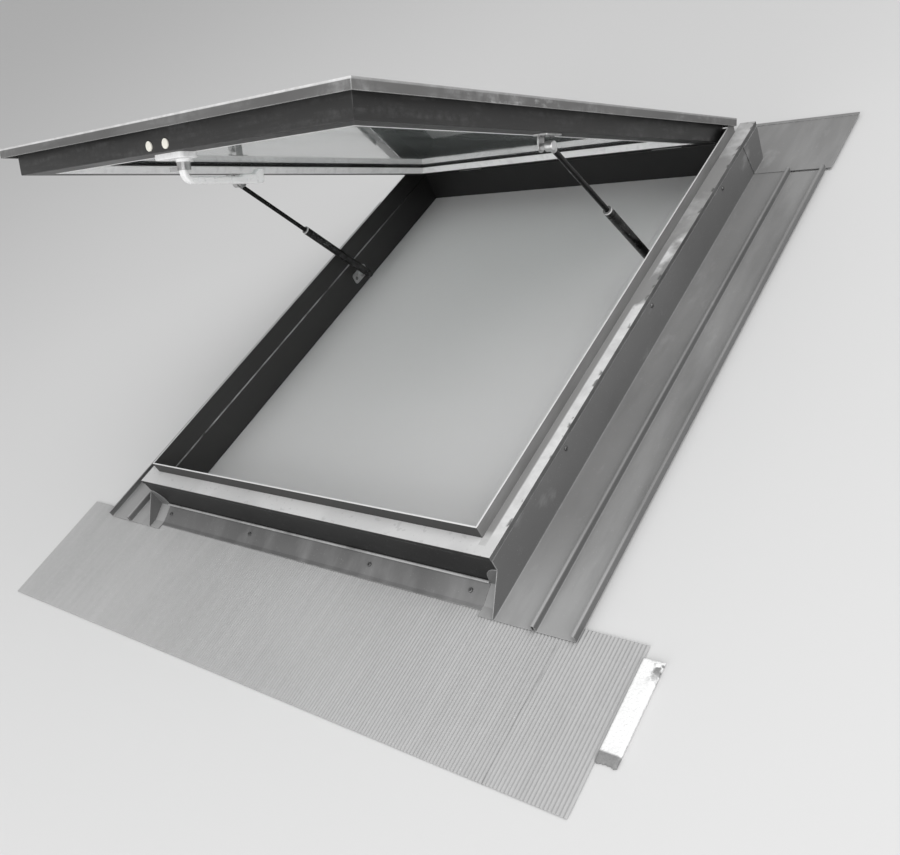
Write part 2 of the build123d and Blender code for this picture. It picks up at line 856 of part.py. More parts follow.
lever_start = -(handle_base_height + hub_height)
grip_low = lever_start - lever_drop
grip_top = grip_low + grip_thickness
lever_side = opened(Plane((0, handle_y, frame_bottom), x_dir=(0, 1, 0), z_dir=(1, 0, 0)))
with BuildPart() as handle_lever:
    with BuildSketch(lever_side):
        with BuildLine():
            FilletPolyline(
                (-lever_front, lever_start),
                (-lever_front, grip_low),
                (lever_length, grip_low),
                (lever_length, grip_top + tip_rise),
                (lever_length - tip_length, grip_top + tip_rise),
                (lever_length - 2 * tip_length, grip_top + grip_swell),
                (lever_length - grip_swell_length, grip_top + grip_swell),
                (lever_length - grip_swell_length - 2 * grip_swell, grip_top),
                (lever_neck - lever_front, grip_top),
                (lever_neck - lever_front, lever_start),
                radius=[
                    0,
                    elbow_radius,
                    2 * lever_edge,
                    lever_edge,
                    lever_edge,
                    2 * lever_edge,
                    lever_edge,
                    lever_edge,
                    elbow_inner_radius,
                    0,
                ],
                close=True,
            )
        make_face()
    extrude(amount=lever_width / 2, both=True)
    lever_top = handle_lever.faces().sort_by(handle_down)[0]
    lever_sides = handle_lever.faces().sort_by(Axis.X)
    rims = [
        edge
        for face in (lever_sides[0], lever_sides[-1])
        for edge in face.edges()
        if abs((edge.center() - lever_top.center()).dot(handle_plane.z_dir)) > pin_clearance
    ]
    fillet(rims, lever_edge)
save(handle_lever, "handle_lever")

neck_middle = lever_neck / 2 - lever_front
cam_middle = cam_depth / 2 - lever_front - (cam_width - lever_width) / 2
with BuildPart() as lock_tongue:
    with BuildSketch(handle_plane.offset(-lever_start)):
        with Locations((0, -cam_middle)):
            RectangleRounded(cam_width, cam_depth, cam_corner)
    extrude(amount=cam_height)
    with BuildSketch(handle_plane.offset(tongue_level - tongue_thickness)):
        with Locations(((tongue_width / 2 - tongue_reach) / 2, 0)):
            SlotCenterToCenter(tongue_reach - tongue_width / 2, tongue_width)
    extrude(amount=tongue_thickness)
    with BuildSketch(handle_plane.offset(-lever_start)):
        with Locations((0, -neck_middle)):
            RectangleRounded(lever_width + 2 * pin_clearance, lever_neck + 2 * pin_clearance, lever_edge)
    extrude(amount=cam_height, mode=Mode.SUBTRACT)
save(lock_tongue, "lock_tongue")

keeper_low = keeper_shelf_z + keeper_thickness - keeper_height
with BuildPart() as lock_keeper:
    with BuildSketch(Plane.YZ.offset(-keeper_width / 2)):
        with BuildLine():
            Polyline(
                (-inner_length / 2, keeper_low),
                (-inner_length / 2, keeper_shelf_z + keeper_thickness),
                (-inner_length / 2 + keeper_shelf, keeper_shelf_z + keeper_thickness),
                (-inner_length / 2 + keeper_shelf, keeper_shelf_z),
                (-inner_length / 2 + keeper_thickness, keeper_shelf_z),
                (-inner_length / 2 + keeper_thickness, keeper_low),
                close=True,
            )
        make_face()
    extrude(amount=keeper_width)
    with Locations(*keeper_screws):
        Cylinder(pilot_radius, 2 * screw_length, mode=Mode.SUBTRACT)
save(lock_keeper, "lock_keeper")

with BuildPart() as handle_caps:
    for x in (cap_offset - cap_spread / 2, cap_offset + cap_spread / 2):
        with BuildSketch(opened(Plane((x, frame_front, frame_bottom + cap_level), z_dir=(0, -1, 0)))):
            Circle(cap_radius)
        extrude(amount=cap_height)
save(handle_caps, "handle_caps")


# Front flashing: a screwed strip over the head of the pleated apron
def front_profile_plane(x):
    """Section plane of the front flashing: x forwards from the curb, y up."""
    return Plane((x, front_face_y, 0), x_dir=(0, -1, 0), z_dir=(-1, 0, 0))


def strip_path(reach):
    """The front flashing's section: down the curb, over the slope, out along the foot."""
    return [(0, strip_top), (0, strip_knee), (strip_run, foot_level), (reach, foot_level)]


strip_sheet = sheet_run(
    front_profile_plane(strip_half), strip_path(strip_run + strip_foot), strip_thickness, strip_bend,
    2 * strip_half,
)
with BuildPart() as front_flashing:
    add(strip_sheet.part)
    with BuildSketch(front_profile_plane(strip_half)):
        with Locations((strip_bead_radius, strip_top)):
            Circle(strip_bead_radius)
    extrude(amount=2 * strip_half)
    with Locations(*strip_screws):
        Cylinder(pilot_radius, 2 * screw_length, mode=Mode.SUBTRACT)
save(front_flashing, "front_flashing")

apron_width = 2 * (side_face_x + apron_side)
apron_front_y = -(curb_length / 2 + apron_front)
apron_rear_y = front_face_y - strip_run + apron_tuck
pleats = round(apron_width / apron_pitch)
half_pitch = apron_width / pleats / 2
lower_line = [
    (-apron_width / 2 + k * half_pitch, apron_pleat * (k % 2)) for k in range(2 * pleats + 1)
]
upper_line = [(x, z + apron_sheet) for x, z in reversed(lower_line)]
with BuildPart() as apron:
    with BuildSketch(Plane((0, apron_rear_y, 0), x_dir=(1, 0, 0), z_dir=(0, -1, 0))):
        with BuildLine():
            Polyline(*lower_line, *upper_line, close=True)
        make_face()
    extrude(amount=apron_rear_y - apron_front_y)
save(apron, "apron")

foam_front_y = apron_front_y + foam_front_inset
with BuildPart() as foam_strip:
    with BuildSketch(Plane.XY):
        with Locations((apron_width / 2 + foam_width / 2, foam_front_y + foam_length / 2)):
            Rectangle(foam_width, foam_length)
    extrude(amount=foam_height)
save(foam_strip, "foam_strip")


# Side flashings: leg, flange, upturned rib and an outer channel, with a folded front end
flange_level = foot_level
leg_top = ledge_height - nose_height - leg_gap
side_front_y = front_face_y - side_front_reach
channel_end_y = rear_face_y - head_lap - head_channel_gap
rib_start = flange_width
rib_end = flange_width + rib_width
channel_end = rib_end + channel_width


def side_profile_plane(y):
    """Section plane of the right side flashing: x outwards from the curb, y up."""
    return Plane((side_face_x, y, 0), x_dir=(1, 0, 0), z_dir=(0, -1, 0))


flange_path = [(0, leg_top), (0, flange_level), (rib_start, flange_level)]
rib_path = [
    (rib_start, flange_level + rib_height),
    (rib_end, flange_level + rib_height),
    (rib_end, flange_level),
]
channel_path = [
    (channel_end, flange_level),
    (channel_end, flange_level + channel_wall),
    (channel_end - hem_width, flange_level + channel_wall),
]
tail_sheet = sheet_run(
    side_profile_plane(rear_face_y), flange_path, sheet_thickness, sheet_bend, rear_face_y - channel_end_y
)
main_sheet = sheet_run(
    side_profile_plane(channel_end_y), flange_path + rib_path + channel_path, sheet_thickness, sheet_bend,
    channel_end_y - side_front_y,
)
return_sheet = sheet_run(
    front_profile_plane(side_face_x + sheet_thickness), strip_path(side_front_reach), sheet_thickness,
    strip_bend, return_width,
)
gusset_plane = Plane((side_face_x + sheet_thickness, front_face_y, 0), x_dir=(-1, 0, 0), z_dir=(0, 1, 0))
gusset_low = gusset_height - return_width
with BuildPart() as side_flashing:
    add(tail_sheet.part)
    add(main_sheet.part)
    with BuildSketch(Plane.YZ.offset(side_face_x - sheet_thickness)):
        with BuildLine():
            Polyline(
                (front_face_y, gusset_height),
                (front_face_y, ledge_height),
                (side_front_y - sheet_thickness, ledge_height),
                (side_front_y - sheet_thickness, flange_level + 2 * sheet_bend),
                close=True,
            )
        make_face()
    extrude(amount=3 * sheet_thickness, mode=Mode.SUBTRACT)
    add(return_sheet.part)
    with BuildSketch(gusset_plane):
        with BuildLine():
            Line((0, strip_knee), (0, gusset_height))
            RadiusArc((0, gusset_height), (return_width, gusset_low), return_width)
            Polyline((return_width, gusset_low), (return_width, strip_knee), (0, strip_knee))
        make_face()
    extrude(amount=-sheet_thickness)
    with Locations(*side_screws[: len(side_screw_ys)]):
        Cylinder(pilot_radius, 2 * screw_length, mode=Mode.SUBTRACT)
save(side_flashing, "side_flashing_right")
save(other_hand(side_flashing), "side_flashing_left")


# Head flashing: leg behind the curb, returns that lap the side flashings, and a pan
head_level = flange_level + sheet_thickness + lap_clearance
head_x = side_face_x + sheet_thickness + lap_clearance
head_y = rear_face_y
lap_y = head_y - head_lap
head_width = 2 * (side_face_x + head_side_width)
return_path = [(0, leg_top), (0, head_level), (head_width / 2 - head_x, head_level)]
return_run = sheet_run(
    Plane((head_x, head_y, 0), x_dir=(1, 0, 0), z_dir=(0, -1, 0)), return_path, sheet_thickness, sheet_bend,
    head_lap,
)
with BuildPart() as head_return:
    add(return_run.part)
    with BuildSketch(Plane.YZ.offset(head_x)):
        with BuildLine():
            Polyline(
                (lap_y, head_level + 2 * sheet_bend),
                (lap_y, leg_top),
                (lap_y - head_lap_slant, leg_top),
                close=True,
            )
        make_face()
    extrude(amount=sheet_thickness)

with BuildPart() as head_flashing:
    with BuildSketch(Plane.XY.offset(head_level)):
        with Locations((0, head_y + head_reach / 2)):
            Rectangle(head_width, head_reach)
    extrude(amount=sheet_thickness)
    with BuildSketch(Plane.XY.offset(head_level)):
        with Locations((0, head_y + sheet_thickness / 2)):
            Rectangle(2 * (head_x + sheet_thickness), sheet_thickness)
    extrude(amount=leg_top - head_level)
    with BuildSketch(Plane.XY.offset(head_level + sheet_thickness)):
        with Locations((0, head_y + head_reach - head_hem / 2)):
            Rectangle(head_width, head_hem)
    extrude(amount=sheet_thickness)
    add(head_return.part)
    add(other_hand(head_return).part)
    with Locations(*head_screws):
        Cylinder(pilot_radius, 2 * screw_length, mode=Mode.SUBTRACT)
save(head_flashing, "head_flashing")


# Screws, in groups of one kind on one carrier
with BuildPart() as screw:
    Cylinder(screw_radius, screw_length, align=(Align.CENTER, Align.CENTER, Align.MAX))
    Cylinder(screw_head_radius, screw_head_height, align=(Align.CENTER, Align.CENTER, Align.MIN))
    fillet(screw.edges().sort_by(Axis.Z)[-1], screw_head_height - screw_head_rim)

screw_groups = {
    "flashing_screws": strip_screws + side_screws + head_screws,
    "curb_fitting_screws": hinge_screws + bracket_screws + keeper_screws,
    "sash_fitting_screws": sash_leaf_screws + foot_screws,
}
for name, places in screw_groups.items():
    with BuildPart() as group:
        with Locations(*places):
            add(screw.part)
    save(group, name)
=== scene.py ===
import json
import math
import bpy
import bmesh
import numpy as np
from mathutils import Matrix, Vector
from mathutils.noise import turbulence


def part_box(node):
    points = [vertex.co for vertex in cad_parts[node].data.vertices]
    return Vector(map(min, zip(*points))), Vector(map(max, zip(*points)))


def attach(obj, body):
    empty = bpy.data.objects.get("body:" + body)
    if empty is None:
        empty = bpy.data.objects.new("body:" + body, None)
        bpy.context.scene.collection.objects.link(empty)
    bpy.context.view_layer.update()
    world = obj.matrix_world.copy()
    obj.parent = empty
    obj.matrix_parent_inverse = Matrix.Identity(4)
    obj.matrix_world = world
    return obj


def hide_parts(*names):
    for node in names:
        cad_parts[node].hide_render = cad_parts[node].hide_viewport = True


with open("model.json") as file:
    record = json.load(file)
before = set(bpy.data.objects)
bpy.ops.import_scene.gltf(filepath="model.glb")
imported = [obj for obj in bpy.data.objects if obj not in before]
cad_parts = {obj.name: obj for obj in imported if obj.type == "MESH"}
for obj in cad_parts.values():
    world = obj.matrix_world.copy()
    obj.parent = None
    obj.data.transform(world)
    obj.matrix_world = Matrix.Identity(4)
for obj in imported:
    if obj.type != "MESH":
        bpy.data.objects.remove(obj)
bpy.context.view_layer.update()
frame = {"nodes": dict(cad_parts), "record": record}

scene = bpy.context.scene
nodes = frame["nodes"]
joints = {joint["name"]: joint for joint in frame["record"]["behaviour"]["joints"]}

# Places in metres: x across, y up the roof, z out of it; a strut's tube is rolled in at its end
HINGE = Vector(joints["sash_hinge"]["pos_m"])
OPEN = -math.radians(joints["sash_hinge"]["range_deg"][0])
STRUT_PIVOT = Vector(joints["tube_right_pivot"]["pos_m"])
STRUT_LINE = Vector(joints["rod_right_slide"]["axis"])
ROLLED_FROM = 0.1885
ROLLED_TO = 0.1908
CURB_LOW, CURB_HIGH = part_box("curb_right")
COVER_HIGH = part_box("cover_frame_right")[1]
STRIP_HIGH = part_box("front_flashing")[1]
APRON_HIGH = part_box("apron")[1]
FOAM_LOW, FOAM_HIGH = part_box("foam_strip")

# The curb's inner wall with its small bead, and the thin upstand on its ledge
BEAD_PROUD = 0.0015
INNER_WALL = CURB_LOW.x + BEAD_PROUD
BEAD_BOTTOM = 0.0573
BEAD_TOP = 0.0607
UPSTAND_TOP = CURB_HIGH.z
UPSTAND_FACE = INNER_WALL + 0.0025
LEDGE = UPSTAND_TOP - 0.020

# The covers' lip with the sash closed
LIP_SIDE = COVER_HIGH.x
LIP_FRONT = -0.4715
LIP_TOP = 0.1015

SIDES = ("front", "right", "rear", "left")
HANDS = ("right", "left")


# Camera at the photo's angle, its turn in degrees
CAMERA_PLACE = (1.0504, -0.9697, 0.8825)
CAMERA_TURN = (44.5463, 23.3949, 32.1868)


def photo_camera():
    data = bpy.data.cameras.new("camera")
    data.lens = 36.3
    data.sensor_width = 36
    data.shift_x = -0.0072
    data.shift_y = 0.0897
    data.clip_start = 0.01
    camera = bpy.data.objects.new("camera", data)
    scene.collection.objects.link(camera)
    camera.location = CAMERA_PLACE
    camera.rotation_euler = [math.radians(angle) for angle in CAMERA_TURN]
    scene.camera = camera


photo_camera()


# Materials, each made up in layers on a principled shader
class Finish:
    """Colour, roughness and bump layers; a swung one reads places with the sash closed."""

    def __init__(self, name, colour, rough, swung=False):
        self.material = bpy.data.materials.new(name)
        self.material.use_nodes = True
        self.tree = self.material.node_tree
        self.shader = self.tree.nodes["Principled BSDF"]
        self.colour = colour
        self.rough = rough
        self.bump = None
        source = self.node("ShaderNodeTexCoord")
        self.place = source.outputs["Object"]
        facing = source.outputs["Normal"]
        if swung:
            self.place = self.closed(self.place, "POINT")
            facing = self.closed(facing, "VECTOR")
        self.x, self.y, self.z = self.split(self.place)
        self.nx, _, self.nz = self.split(facing)

    def node(self, kind, **values):
        """A new node; each value goes to the socket or the setting of that name."""
        made = self.tree.nodes.new(kind)
        for key, value in values.items():
            if key in made.inputs:
                made.inputs[key].default_value = value
            else:
                setattr(made, key, value)
        return made

    def join(self, value, socket):
        """Set a number or colour on a socket, or link another socket to it."""
        if isinstance(value, (int, float)):
            socket.default_value = value
        elif isinstance(value, tuple):
            socket.default_value = (*value, 1)
        else:
            self.tree.links.new(value, socket)

    def closed(self, vector, kind):
        """A point or direction on the open sash, as it is with the sash closed."""
        turn = self.node("ShaderNodeMapping", vector_type=kind)
        turn.inputs["Rotation"].default_value = (OPEN, 0, 0)
        if kind == "POINT":
            turn.inputs["Location"].default_value = HINGE - Matrix.Rotation(OPEN, 3, "X") @ HINGE
        self.tree.links.new(vector, turn.inputs["Vector"])
        return turn.outputs["Vector"]

    def split(self, vector):
        parts = self.node("ShaderNodeSeparateXYZ")
        self.tree.links.new(vector, parts.inputs["Vector"])
        return parts.outputs["X"], parts.outputs["Y"], parts.outputs["Z"]

    def maths(self, operation, first, second=0.0):
        made = self.node("ShaderNodeMath", operation=operation)
        self.join(first, made.inputs[0])
        self.join(second, made.inputs[1])
        return made.outputs["Value"]

    def ranged(self, value, low, high, to_low=0.0, to_high=1.0):
        """A value's stretch from low to high, as 0 to 1 or as other ends."""
        made = self.node("ShaderNodeMapRange")
        made.inputs["From Min"].default_value = low
        made.inputs["From Max"].default_value = high
        made.inputs["To Min"].default_value = to_low
        made.inputs["To Max"].default_value = to_high
        self.tree.links.new(value, made.inputs["Value"])
        return made.outputs["Result"]

    def noise(self, scale, low=0.0, high=1.0, stretch=(1, 1, 1), detail=4, rough=0.5, shift=0.0):
        """Patches, 0 where the noise is under low and 1 where it is over high."""
        mapping = self.node("ShaderNodeMapping")
        mapping.inputs["Scale"].default_value = stretch
        mapping.inputs["Location"].default_value = (shift, shift, shift)
        self.tree.links.new(self.place, mapping.inputs["Vector"])
        made = self.node("ShaderNodeTexNoise", Scale=scale, Detail=detail, Roughness=rough)
        self.tree.links.new(mapping.outputs["Vector"], made.inputs["Vector"])
        return self.ranged(made.outputs["Fac"], low, high)

    def specks(self, scale, size):
        """Small broken marks, of which a noise keeps about half."""
        cells = self.node("ShaderNodeTexVoronoi", Scale=scale, Randomness=1.0)
        self.tree.links.new(self.place, cells.inputs["Vector"])
        dots = self.ranged(cells.outputs["Distance"], size, size * 0.6)
        broken = self.noise(scale=scale * 5, low=0.38, high=0.56, detail=5, rough=0.6)
        kept = self.noise(scale=scale * 0.35, low=0.5, high=0.56)
        return self.product(dots, broken, kept)

    def product(self, *values):
        total = values[0]
        for value in values[1:]:
            total = self.maths("MULTIPLY", total, value)
        return total

    def less(self, value, limit, soft=0.0005):
        """1 under a limit, fading out over a soft edge."""
        return self.ranged(value, limit + soft, limit - soft)

    def more(self, value, limit, soft=0.0005):
        """1 over a limit, fading in over a soft edge."""
        return self.ranged(value, limit - soft, limit + soft)

    def up(self, low=0.5, high=0.95):
        """1 where the surface faces away from the roof."""
        return self.ranged(self.nz, low, high)

    def edges(self, radius):
        """1 along inner and outer edges, from a rounded normal against the true one."""
        soft = self.node("ShaderNodeBevel", Radius=radius)
        soft.samples = 4
        true = self.node("ShaderNodeNewGeometry")
        dot = self.node("ShaderNodeVectorMath", operation="DOT_PRODUCT")
        self.tree.links.new(soft.outputs["Normal"], dot.inputs[0])
        self.tree.links.new(true.outputs["Normal"], dot.inputs[1])
        return self.ranged(dot.outputs["Value"], 0.985, 0.9)

    def paint(self, mask, colour, share=1.0):
        """Lay a share of a colour on where the mask is 1."""
        if share < 1.0:
            mask = self.product(mask, share)
        made = self.node("ShaderNodeMix", data_type="RGBA")
        self.join(mask, made.inputs["Factor"])
        under, over = [socket for socket in made.inputs if socket.type == "RGBA"]
        self.join(self.colour, under)
        self.join(colour, over)
        self.colour = next(socket for socket in made.outputs if socket.type == "RGBA")

    def dull(self, mask, rough):
        """Change the roughness where the mask is 1."""
        made = self.node("ShaderNodeMix", data_type="FLOAT")
        self.join(mask, made.inputs["Factor"])
        self.join(self.rough, made.inputs["A"])
        self.join(rough, made.inputs["B"])
        self.rough = made.outputs["Result"]

    def relief(self, height, distance, strength=1.0):
        """Bump by a pattern's height, on top of the bumps so far."""
        made = self.node("ShaderNodeBump", Strength=strength, Distance=distance)
        self.tree.links.new(height, made.inputs["Height"])
        if self.bump:
            self.tree.links.new(self.bump, made.inputs["Normal"])
        self.bump = made.outputs["Normal"]

    def done(self, metal=0.0, specular=0.5):
        """Join the layers to the shader."""
        self.join(self.colour, self.shader.inputs["Base Color"])
        self.join(self.rough, self.shader.inputs["Roughness"])
        self.shader.inputs["Metallic"].default_value = metal
        self.shader.inputs["Specular IOR Level"].default_value = specular
        if self.bump:
            self.tree.links.new(self.bump, self.shader.inputs["Normal"])
        return self.material


def grey(value, warmth=0.0):
    return (value * (1 + warmth), value, value * (1 - warmth))


def shaded(colour, share):
    return tuple(channel * share for channel in colour)


def curb_finish():
    """Dark satin coat, with painted shade towards the rear; the ledge is rubbed pale, most along its right
    outer edge, where painted light adds to it, and the upstand's top has a painted highlight.
    """
    coat = Finish("curb_coat", grey(0.028, warmth=0.02), rough=0.5)
    broad = coat.noise(scale=6, low=0.36, high=0.64, detail=5)
    fine = coat.noise(scale=60, low=0.36, high=0.68, detail=6, rough=0.65)
    across = coat.maths("ABSOLUTE", coat.x)
    along = coat.maths("ABSOLUTE", coat.y)
    from_side = coat.maths("SUBTRACT", CURB_HIGH.x, across)
    from_end = coat.maths("SUBTRACT", CURB_HIGH.y, along)
    from_edge = coat.maths("MINIMUM", from_side, from_end)
    ledge = coat.product(coat.up(0.8, 0.97), coat.more(coat.z, LEDGE - 0.006))
    wall = coat.maths("SUBTRACT", 1.0, coat.up(0.3, 0.6))
    outer = coat.product(wall, coat.less(from_edge, 0.004))
    # Painted shade: the whole curb grows darker towards the rear, under the open sash
    coat.paint(coat.more(coat.y, 0.3, soft=0.12), grey(0.01))
    curb_bead_layer(coat, across)
    curb_wall_layers(coat, outer, broad)
    curb_ledge_layers(coat, ledge, broad)
    curb_upstand_layers(coat, wall, broad)
    curb_right_layers(coat, ledge, from_edge, fine)
    # Painted highlight: the upstand's up-facing top is laid near white, as it catches the light
    upstand_top = coat.product(coat.more(coat.z, UPSTAND_TOP - 0.0015), coat.up(0.3, 0.7))
    coat.paint(coat.product(upstand_top, coat.ranged(fine, 0, 1, 0.7, 1)), grey(0.75))
    worn = coat.noise(scale=50, low=0.38, high=0.62)
    coat.paint(coat.product(coat.edges(0.0012), coat.less(from_edge, 0.006), worn), grey(0.36), share=0.6)
    coat.dull(ledge, 0.6)
    coat.relief(coat.noise(scale=900, detail=2), 0.00008)
    coat.relief(fine, 0.0002, strength=0.3)
    return coat.done(specular=0.4)


def curb_bead_layer(coat, across):
    """The thin pale line of the bead on the inner walls."""
    level = coat.product(coat.more(coat.z, BEAD_BOTTOM, 0.0001), coat.less(coat.z, BEAD_TOP, 0.0001))
    bead = coat.product(coat.less(across, INNER_WALL - 0.0003, 0.0001), level)
    rubbed = coat.noise(scale=30, low=0.3, high=0.6)
    coat.paint(coat.product(bead, rubbed, coat.less(coat.y, 0.3, 0.1)), grey(0.3))


def curb_wall_layers(coat, outer, broad):
    """Outer walls: dark, with painted shade for the one in front, and a paler one on the right, partly
    painted light and partly smudged.
    """
    right_wall = coat.product(outer, coat.more(coat.nx, 0.7))
    pale = coat.noise(scale=12, low=0.42, high=0.66, stretch=(1, 1.5, 0.5), detail=6, rough=0.62, shift=3.0)
    dark = coat.noise(scale=4, low=0.5, high=0.62, stretch=(1, 1, 2.5), rough=0.55, shift=6.0)
    # Painted shade: the outer walls are laid darker than the inner ones, as the front one lies in shade
    coat.paint(outer, grey(0.006))
    coat.paint(coat.product(outer, broad), grey(0.016), share=0.6)
    # Painted light: the right outer wall is laid paler, as lit from the right; smudges and dark patches go
    # on top
    coat.paint(coat.product(right_wall, coat.ranged(broad, 0, 1, 0.6, 1.0)), grey(0.085))
    coat.paint(coat.product(right_wall, pale), grey(0.16), share=0.65)
    coat.paint(coat.product(right_wall, dark), grey(0.04), share=0.5)
    coat.paint(coat.product(outer, coat.specks(300, 0.22)), grey(0.3), share=0.4)


def curb_ledge_layers(coat, ledge, broad):
    """Pale dust on the ledge, with lighter patches and a few dark spots."""
    patches = coat.noise(scale=9, low=0.46, high=0.6, detail=3, shift=2.4)
    spots = coat.noise(scale=110, low=0.62, high=0.68, detail=3, shift=1.7)
    coat.paint(coat.product(ledge, coat.ranged(broad, 0, 1, 0.9, 1.0)), grey(0.56))
    coat.paint(coat.product(ledge, patches), grey(0.66), share=0.55)
    coat.paint(coat.product(ledge, spots), grey(0.2), share=0.2)


def curb_upstand_layers(coat, wall, broad):
    """The right upstand's outer face, streaked along its length."""
    face = coat.product(wall, coat.more(coat.x, UPSTAND_FACE - 0.001), coat.more(coat.nx, 0.7))
    upstand = coat.product(face, coat.more(coat.z, LEDGE + 0.0002))
    streaks = coat.noise(scale=40, low=0.45, high=0.7, stretch=(1, 0.2, 1), rough=0.6, shift=7.0)
    coat.paint(coat.product(upstand, coat.ranged(broad, 0, 1, 0.7, 1.0)), grey(0.16, warmth=0.01))
    coat.paint(coat.product(upstand, streaks), grey(0.24), share=0.5)


def curb_right_layers(coat, ledge, from_edge, fine):
    """The right ledge: grey, with a pale band along its outer edge in front, partly dust and partly painted
    light where the sash's shadow ends, smears at the rear and chips.
    """
    right_side = coat.product(ledge, coat.more(coat.x, UPSTAND_FACE))
    wander = coat.noise(scale=14, detail=5, shift=3.0)
    rear = coat.ranged(coat.maths("ADD", coat.y, wander), 0.52, 0.62)
    front = coat.maths("SUBTRACT", 1.0, rear)
    streaks = coat.noise(scale=40, low=0.45, high=0.7, stretch=(1, 0.2, 1), rough=0.6, shift=4.0)
    coat.paint(right_side, grey(0.24, warmth=0.01), share=0.92)
    coat.paint(coat.product(right_side, streaks), grey(0.28), share=0.5)
    # Partly painted light: the pale band along the outer edge is kept to the front, out of the sash's
    # shadow, over dust
    edge_line = coat.product(coat.less(from_edge, 0.0165, 0.0012), coat.ranged(fine, 0, 1, 0.72, 1.0))
    coat.paint(coat.product(right_side, front, edge_line), grey(0.74))
    front_end = coat.less(coat.y, CURB_LOW.y + 0.035, 0.006)
    front_end = coat.product(front_end, coat.ranged(fine, 0, 1, 0.6, 0.9))
    coat.paint(coat.product(right_side, front_end), grey(0.55))
    smear = coat.noise(scale=16, low=0.44, high=0.6, stretch=(0.6, 0.6, 3), detail=5, rough=0.6, shift=3.1)
    smears = coat.product(coat.more(coat.y, 0.2, 0.1), smear, coat.ranged(fine, 0, 1, 0.4, 0.9))
    coat.paint(coat.product(right_side, rear, smears), grey(0.55))
    chips = coat.noise(scale=70, low=0.57, high=0.61, stretch=(1, 0.6, 1), shift=8.0)
    rim = coat.less(from_edge, 0.0035, 0.002)
    coat.paint(coat.product(right_side, rim, chips), grey(0.05), share=0.85)


def rail_finish():
    """The sash's dark hollow rails."""
    coat = Finish("rail_coat", grey(0.018, warmth=0.01), rough=0.38, swung=True)
    broad = coat.noise(scale=5, low=0.36, high=0.66, detail=5)
    fine = coat.noise(scale=75, low=0.4, high=0.72, detail=6, rough=0.65)
    wiped = coat.noise(scale=30, low=0.45, high=0.68, stretch=(0.3, 0.3, 3), rough=0.6, shift=2.2)
    worn = coat.noise(scale=45, low=0.35, high=0.65)
    coat.paint(broad, grey(0.034, warmth=0.01), share=0.6)
    coat.paint(coat.product(wiped, fine), grey(0.1), share=0.6)
    coat.paint(coat.specks(260, 0.16), grey(0.2), share=0.25)
    coat.paint(coat.product(coat.edges(0.001), worn), grey(0.2), share=0.7)
    coat.dull(broad, 0.55)
    coat.relief(coat.noise(scale=900, detail=2), 0.00008)
    return coat.done(specular=0.4)


def cover_finish():
    """The cover rails, with dust on their faces, pale edges that are partly bare and partly painted
    highlight, and a painted highlight line along the lip's top, brightest in front.
    """
    coat = Finish("cover_coat", grey(0.085, warmth=0.01), rough=0.42, swung=True)
    broad = coat.noise(scale=7, low=0.36, high=0.66, detail=5)
    fine = coat.noise(scale=65, low=0.4, high=0.7, detail=6, rough=0.65)
    smear = coat.noise(
        scale=26, low=0.44, high=0.66, stretch=(0.35, 0.35, 2), detail=5, rough=0.6, shift=4.4
    )
    coat.paint(broad, grey(0.13, warmth=0.01), share=0.8)
    coat.paint(coat.product(smear, fine), grey(0.26), share=0.8)
    coat.paint(coat.product(coat.up(), coat.ranged(broad, 0, 1, 0.5, 1.0)), grey(0.26), share=0.75)
    middle = coat.product(coat.more(coat.y, -0.3, 0.03), coat.less(coat.y, -0.12, 0.04))
    scuffs = coat.noise(scale=55, low=0.53, high=0.66, stretch=(1, 0.5, 1), detail=5, rough=0.65, shift=6.0)
    coat.paint(coat.product(coat.more(coat.x, LIP_SIDE - 0.0065), middle, scuffs), grey(0.5), share=0.7)
    # Partly painted highlight: paler edges, as bare paint and as light caught on them
    coat.paint(coat.product(coat.edges(0.0014), coat.ranged(fine, 0, 1, 0.55, 1.0)), grey(0.42))
    # Painted highlight: a pale line along the top of the lip's outer faces, brightest in front
    rim = coat.product(coat.more(coat.z, LIP_TOP - 0.0027, 0.0004), coat.ranged(fine, 0, 1, 0.7, 1.0))
    coat.paint(coat.product(rim, coat.more(coat.x, LIP_SIDE - 0.001, 0.0003)), grey(0.34), share=0.8)
    coat.paint(coat.product(rim, coat.less(coat.y, LIP_FRONT + 0.001, 0.0003)), grey(0.66))
    coat.dull(broad, 0.6)
    coat.relief(coat.noise(scale=900, detail=2), 0.00008)
    return coat.done(specular=0.45)


